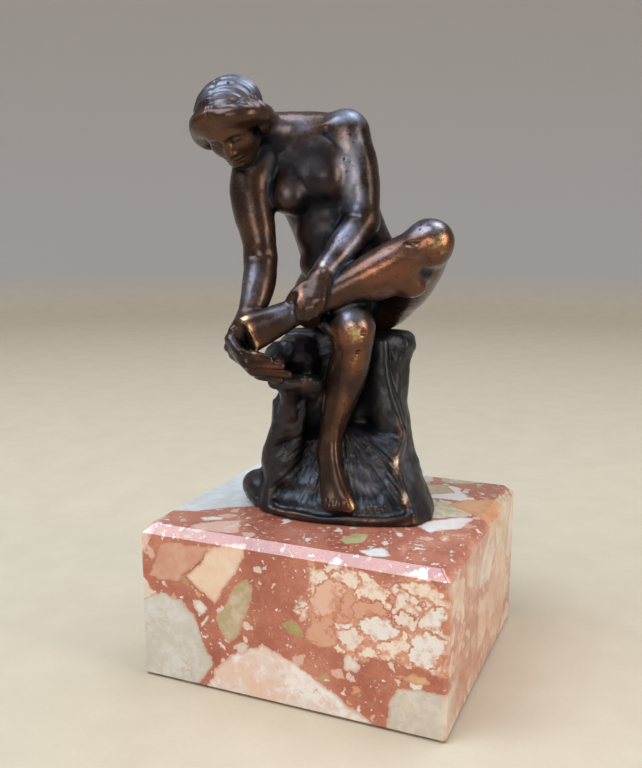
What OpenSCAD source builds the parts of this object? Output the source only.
// Seated bather: small patinated bronze on a polished marble block.
// Units are millimetres. +Z is up, +X runs to the right along the block's front
// face and +Y runs to the back. The origin is the centre of the resting face.

/* [Marble block] */
// Width of the block along X
base_w = 80; // [76:0.5:90]
// Depth of the block along Y
base_d = 72; // [68:0.5:86]
// Height of the block's top above the surface it stands on
base_h = 40.7; // [36:0.1:50]
// Width of the 45 degree chamfer round the top
base_chamfer = 2.2; // [0.5:0.1:4]
// Radius of the four upright edges
base_edge_r = 1; // [0.4:0.1:3]

/* [Felt] */
// Thickness of the felt glued under the block
felt_t = 0.8; // [0.5:0.1:2]
// How far the felt stops short of the block's edge
felt_inset = 1.2; // [0.5:0.1:4]

/* [Fixing hardware] */
// Diameter of the threaded stud that holds the bronze down
stud_d = 4; // [3:0.5:5]
// Length of stud inside the rock's tapped hole
stud_grip = 11; // [8:0.5:14]
// Diameter of the clearance bore through the marble
bore_d = 5.5; // [5.2:0.1:7]
// Diameter of the recess under the block, for the nut and a socket
recess_d = 16; // [14:0.5:22]
// Depth of the recess under the block
recess_depth = 12; // [10:0.5:18]
// Width of the hexagon nut across its flats
nut_af = 7; // [7:0.1:8.5]
// Height of the hexagon nut
nut_h = 3.2; // [2.4:0.1:4]
// Outer diameter of the flat washer
washer_d = 12; // [9:0.5:13]
// Thickness of the flat washer
washer_t = 1; // [0.6:0.1:1.6]
// Diameter of the pin that stops the bronze turning on the marble
turn_pin_d = 2.5; // [2:0.1:3]
// Diameter of the dowel between the figure and the rock seat
seat_pin_d = 3; // [2:0.1:4]

/* [Bronze] */
// Turn of the whole bronze on the block, about the vertical
figure_turn = 22.9; // [15:0.1:30]
// Height of the rock seat above the marble
seat_h = 46; // [44:0.1:48]

/* [Hidden] */
$fn = 48;
fit = 0.02;                       // radial clearance of the fixing holes
z0 = base_h;                      // level the bronze stands on
stud_xy = [0, 3];                 // axis of the fixing stud
turn_xy = [-12, 5];               // axis of the anti-turn pin
recess_z = felt_t + recess_depth; // roof of the recess
spring_t = 1;                     // thickness of the spring washer
stud_tail = 2;                    // stud that shows beyond the nut
nut_z = recess_z - washer_t - spring_t - nut_h;
stud_z = nut_z - stud_tail;
stud_len = z0 + stud_grip - stud_z;
seat_top = z0 + seat_h;
seat_uv = [5, 12];                // axis of the seat dowel, in the bronze's frame
seat_pin_len = 14;

// ---- shared shapes ----
module block_outline(inset) {
    w = base_w - 2 * inset;
    d = base_d - 2 * inset;
    r = base_edge_r;
    for (s = [-1, 1]) {
        translate([-w / 2, -d / 2 + r]) square([w, d - 2 * r]);
        translate([-w / 2 + r, -d / 2]) square([w - 2 * r, d]);
        for (t = [-1, 1]) translate([s * (w / 2 - r), t * (d / 2 - r)]) circle(r);
    }
}

// turns the bronze's own frame (u across, v away, z up) into the block's frame
module in_bronze() rotate([0, 0, figure_turn]) children();

// a limb of round sections: each station is [u, v, z, radius]
module limb(st, n = 16)
    for (i = [0 : len(st) - 2])
        hull() {
            translate([st[i][0], st[i][1], st[i][2]]) sphere(st[i][3], $fn = n);
            translate([st[i + 1][0], st[i + 1][1], st[i + 1][2]])
                sphere(st[i + 1][3], $fn = n);
        }

// an egg: centre, half sizes, tilt angles
module egg(c, s, a = [0, 0, 0], n = 22)
    translate(c) rotate(a) scale(s) sphere(1, $fn = n);

// a slice of stone: outline points at a level, drawn as a thin slab
module slice(z, pts) translate([0, 0, z]) linear_extrude(0.2) polygon(pts);

// ---- marble ----
module marble_base() color([0.72, 0.40, 0.32]) {
    difference() {
        union() {
            translate([0, 0, felt_t])
                linear_extrude(base_h - base_chamfer - felt_t) block_outline(0);
            hull() {
                translate([0, 0, base_h - base_chamfer - 0.01])
                    linear_extrude(0.01) block_outline(0);
                translate([0, 0, base_h - 0.01])
                    linear_extrude(0.01) block_outline(base_chamfer);
            }
        }
        translate([stud_xy[0], stud_xy[1], -1]) cylinder(d = bore_d, h = base_h + 2);
        translate([stud_xy[0], stud_xy[1], -1])
            cylinder(d = recess_d, h = recess_z + 1);
        translate([turn_xy[0], turn_xy[1], z0 - 6.5])
            cylinder(d = turn_pin_d + 2 * fit, h = 8);
    }
}

module felt_pad() color([0.12, 0.20, 0.14])
    linear_extrude(felt_t) block_outline(felt_inset);

// ---- rock: seat, ledge, side ridge and the sloping ground ----
ground_lo = [[-27.4, 10], [-24.4, -1], [-20.8, -8.5], [-10.6, -15.8], [2, -19.4],
             [14.3, -19.8], [19.4, -18.2], [23.2, -13.6], [24.9, -4], [24, 8],
             [18, 18], [5, 24], [-10, 24], [-22, 18]];
ground_hi = [[-25, 10], [-22.5, 0], [-19, -7], [-9.6, -14], [2, -17.6],
             [13.3, -18], [17.8, -16.6], [21, -12.6], [22.4, -4], [21.6, 8],
             [16, 16.6], [4, 22], [-9, 22], [-20, 17]];

module rock_form() {
    // ground plate
    hull() {
        slice(z0, ground_lo);
        slice(z0 + 1.6, ground_lo);
        slice(z0 + 2.8, ground_hi);
    }
    // right-hand column of the seat
    hull() {
        slice(z0 + 1, [[6, -12], [19, -13], [23, -4], [22, 8], [15, 19], [2, 21]]);
        slice(z0 + 24, [[9, -7], [15, -8.5], [19, -2], [19, 8], [13, 17], [2, 19]]);
        slice(z0 + 36, [[8, -4], [14, -6.5], [18.6, -3], [19.2, 6], [14, 17], [2, 19]]);
        slice(seat_top - 0.2, [[6, 0], [11, -5], [16, -4], [18.6, 4], [14, 15], [3, 17]]);
    }
    // left-hand part of the seat
    hull() {
        slice(z0 + 1, [[-21, 6], [-16, -6], [8, -4], [8, 21], [-10, 22], [-20, 16]]);
        slice(z0 + 30, [[-13, 4], [-8, -1], [8, 0], [8, 20], [-8, 20], [-13, 13]]);
        slice(seat_top - 1.2, [[-7, 5], [-3, 3], [8, 2], [8, 16], [-3, 18], [-8, 13]]);
    }
    // ledge under the hand
    hull() {
        slice(z0 + 1, [[-22, 2], [-17, -8], [-6, -10], [-2, 8], [-16, 16]]);
        slice(z0 + 22, [[-17, -3], [-14, -8], [-6, -9], [-3, 6], [-14, 8]]);
        slice(z0 + 34, [[-15.6, -6], [-13, -12], [-7, -12], [-4, -3], [-11, 2]]);
    }
    // sloping ground in front, under the standing foot
    hull() {
        slice(z0 + 1.5, [[-18, -10], [-10, -14.6], [2, -18.6], [13, -18.8], [19, -13],
                         [20, 0], [-18, 2]]);
        slice(z0 + 11, [[-14, -8], [-4, -12.5], [6, -13], [12, -11], [14, 0], [-14, 2]]);
        slice(z0 + 21, [[-11, -5], [-4, -8], [4, -8], [9, -5], [9, 2], [-11, 2]]);
    }
    // ridge that runs down on the left
    hull() {
        slice(z0 + 1, [[-26, 8], [-24, -1], [-20, -8], [-14, -10], [-14, 6]]);
        slice(z0 + 14, [[-20.6, 4], [-20, -3], [-17, -6.5], [-13, -6], [-13, 6]]);
        slice(z0 + 26, [[-16, 1], [-15, -4], [-12.5, -5], [-11, 4]]);
    }
}

module rock_casting() color([0.20, 0.14, 0.11])
    difference() {
        in_bronze() rock_form();
        translate([stud_xy[0], stud_xy[1], z0 - 1])
            cylinder(d = stud_d + 2 * fit, h = stud_grip + 2);
        translate([turn_xy[0], turn_xy[1], z0 - 1])
            cylinder(d = turn_pin_d + 2 * fit, h = 7.5);
        in_bronze() translate([seat_uv[0], seat_uv[1], seat_top - seat_pin_len / 2 - 0.5])
            cylinder(d = seat_pin_d + 2 * fit, h = seat_pin_len);
    }

// ---- figure ----
module torso() {
    hull() {                                   // shoulder girdle
        egg([-19.5, 0, 132], [5.2, 6.6, 5.6]);
        egg([-9, 3.5, 137], [6, 7, 5.4]);
        egg([0.5, 4, 137.4], [5.4, 5.6, 5]);
    }
    hull() {                                   // rib cage
        egg([-12.5, 1, 126.5], [7.2, 8.4, 8]);
        egg([-1, 4, 127], [8, 8, 9]);
        egg([0, 6.5, 115], [11, 8.4, 6]);
    }
    hull() {                                   // waist
        egg([-1, 5.5, 112], [11.6, 8.4, 5]);
        egg([1.5, 9, 101], [12.4, 9.6, 6]);
    }
    hull() {                                   // pelvis and buttocks
        egg([0, 11, 96], [11, 9, 8]);
        egg([8, 13.5, 96], [10, 9.5, 8.6]);
        egg([-1, 13, 93], [9, 9, 6]);
    }
    egg([-13.6, -5.4, 121.6], [5, 5, 5]);      // breasts
    egg([-4.4, -4.6, 126.4], [4.6, 5, 5]);
    limb([[-10, 3, 137.5, 5.4], [-16, 0, 138.5, 4.6], [-22, -4, 138.5, 4.4]]);
}

module head() {
    egg([-28, -8.6, 141.2], [8.8, 8.6, 8.2]);  // skull under the hair
    egg([-26.6, -7.4, 142.2], [9.2, 8.8, 7.2]);
    hull() {                                   // plain face block
        egg([-28.5, -12.4, 136.6], [6, 5, 6]);
        egg([-25.4, -13.4, 131.4], [3, 2.8, 2.8]);
    }
    limb([[-35, -10, 136.6, 2.2], [-33.4, -14, 141.4, 2.4], [-28, -16, 143.6, 2.2],
          [-22, -14.6, 143.6, 2.2], [-19.6, -10, 142, 2.4]]);  // rolled fringe
}

module arms() {
    // right arm, hanging to the foot
    limb([[-21.6, -1, 130.6, 5.6], [-22.6, -2.4, 124, 5.5], [-21.6, -5, 115, 4.7],
          [-20.8, -7, 106.6, 4.1], [-20.6, -10, 101, 4.1], [-22, -14.6, 93.4, 2.9]]);
    limb([[-22, -14.6, 93.4, 2.9], [-24.8, -16.4, 88.4, 3.1], [-25, -16.4, 84.8, 2.9],
          [-21.6, -15.6, 81.6, 2.6], [-15.6, -14.6, 78.6, 2.3]]);
    // left arm, bent over the crossed shin
    limb([[1.2, 2, 138, 5.6], [3.4, 1.6, 131, 5.6], [4.2, 0, 122, 5],
          [4.4, -2.6, 115.6, 4.6], [1.4, -6.4, 111.4, 4.2], [-5.4, -14.6, 102.6, 2.9]]);
    limb([[-5.4, -14.6, 102.6, 2.9], [-7.4, -18.4, 98.6, 3.1], [-8, -19.6, 94.4, 2.4]]);
}

module legs() {
    // crossed left leg: thigh, knee, calf, ankle, foot
    limb([[12.6, 14, 95, 8.4], [16.6, 3, 101, 7.8], [20.2, -6, 107, 6.6],
          [20.6, -11, 110.4, 6]]);
    limb([[20.6, -11, 110.4, 6], [12.4, -11.6, 104.6, 6.4], [5, -12, 100.8, 5.6],
          [-4, -12.6, 97, 3.9], [-11, -14, 94, 3.9]]);
    limb([[-11, -14, 94, 3.9], [-16, -15.4, 91.4, 3.8], [-21.4, -16.6, 88.6, 3.6]]);
    // standing right leg
    limb([[-1, 12, 95, 8], [1, -2, 93, 7.2], [1.8, -11.6, 89.4, 6]]);
    limb([[1.8, -11.6, 89.4, 6], [2, -10, 82, 5.4], [-0.4, -8, 75, 5.2],
          [-2.4, -8.6, 66, 3.9], [-3.4, -9.6, 60, 3.3]]);
    limb([[-3.4, -9.6, 60, 3.3], [-1.8, -13.4, 53, 3.2], [-0.6, -16.4, 47, 2.6]]);
    limb([[-2.8, -14.8, 48, 3], [-1.2, -16.6, 46, 2.8]]);
}

module figure_casting() color([0.30, 0.19, 0.13])
    difference() {
        in_bronze() {
            torso();
            head();
            arms();
            legs();
        }
        in_bronze() rock_form();
        in_bronze() translate([seat_uv[0], seat_uv[1], seat_top - 2])
            cylinder(d = seat_pin_d + 0.1, h = 2 + seat_pin_len / 2 + 0.5);
    }

// ---- hardware ----
module fixing_stud() color([0.62, 0.62, 0.64])
    translate([stud_xy[0], stud_xy[1], stud_z]) {
        cylinder(d1 = stud_d - 1, d2 = stud_d, h = 0.5);
        translate([0, 0, 0.5]) cylinder(d = stud_d, h = stud_len - 1);
        translate([0, 0, stud_len - 0.5]) cylinder(d1 = stud_d, d2 = stud_d - 1, h = 0.5);
    }

module anti_turn_pin() color([0.55, 0.55, 0.57])
    translate([turn_xy[0], turn_xy[1], z0 - 6]) cylinder(d = turn_pin_d, h = 12);

module seat_pin() color([0.60, 0.45, 0.25])
    in_bronze() translate([seat_uv[0], seat_uv[1], seat_top - seat_pin_len / 2])
        cylinder(d = seat_pin_d, h = seat_pin_len);

module flat_washer() color([0.66, 0.66, 0.68])
    translate([stud_xy[0], stud_xy[1], recess_z - washer_t])
        difference() {
            cylinder(d = washer_d, h = washer_t);
            translate([0, 0, -1]) cylinder(d = stud_d + 0.4, h = washer_t + 2);
        }

module spring_washer() color([0.50, 0.50, 0.52])
    translate([stud_xy[0], stud_xy[1], recess_z - washer_t - spring_t])
        difference() {
            cylinder(d = nut_af + 0.6, h = spring_t);
            translate([0, 0, -1]) cylinder(d = stud_d + 0.3, h = spring_t + 2);
            translate([0, -0.4, -1]) cube([nut_af, 0.8, spring_t + 2]);
        }

module hex_nut() color([0.68, 0.68, 0.70])
    translate([stud_xy[0], stud_xy[1], nut_z])
        difference() {
            intersection() {
                cylinder(d = nut_af / cos(30), h = nut_h, $fn = 6);
                cylinder(d1 = nut_af + 5.2, d2 = nut_af - 0.2 + 2 * nut_h, h = nut_h, $fn = 64);
            }
            translate([0, 0, -1]) cylinder(d = stud_d + 2 * fit, h = nut_h + 2);
        }

marble_base();
rock_casting();
figure_casting();
seat_pin();
fixing_stud();
anti_turn_pin();
flat_washer();
spring_washer();
hex_nut();
felt_pad();
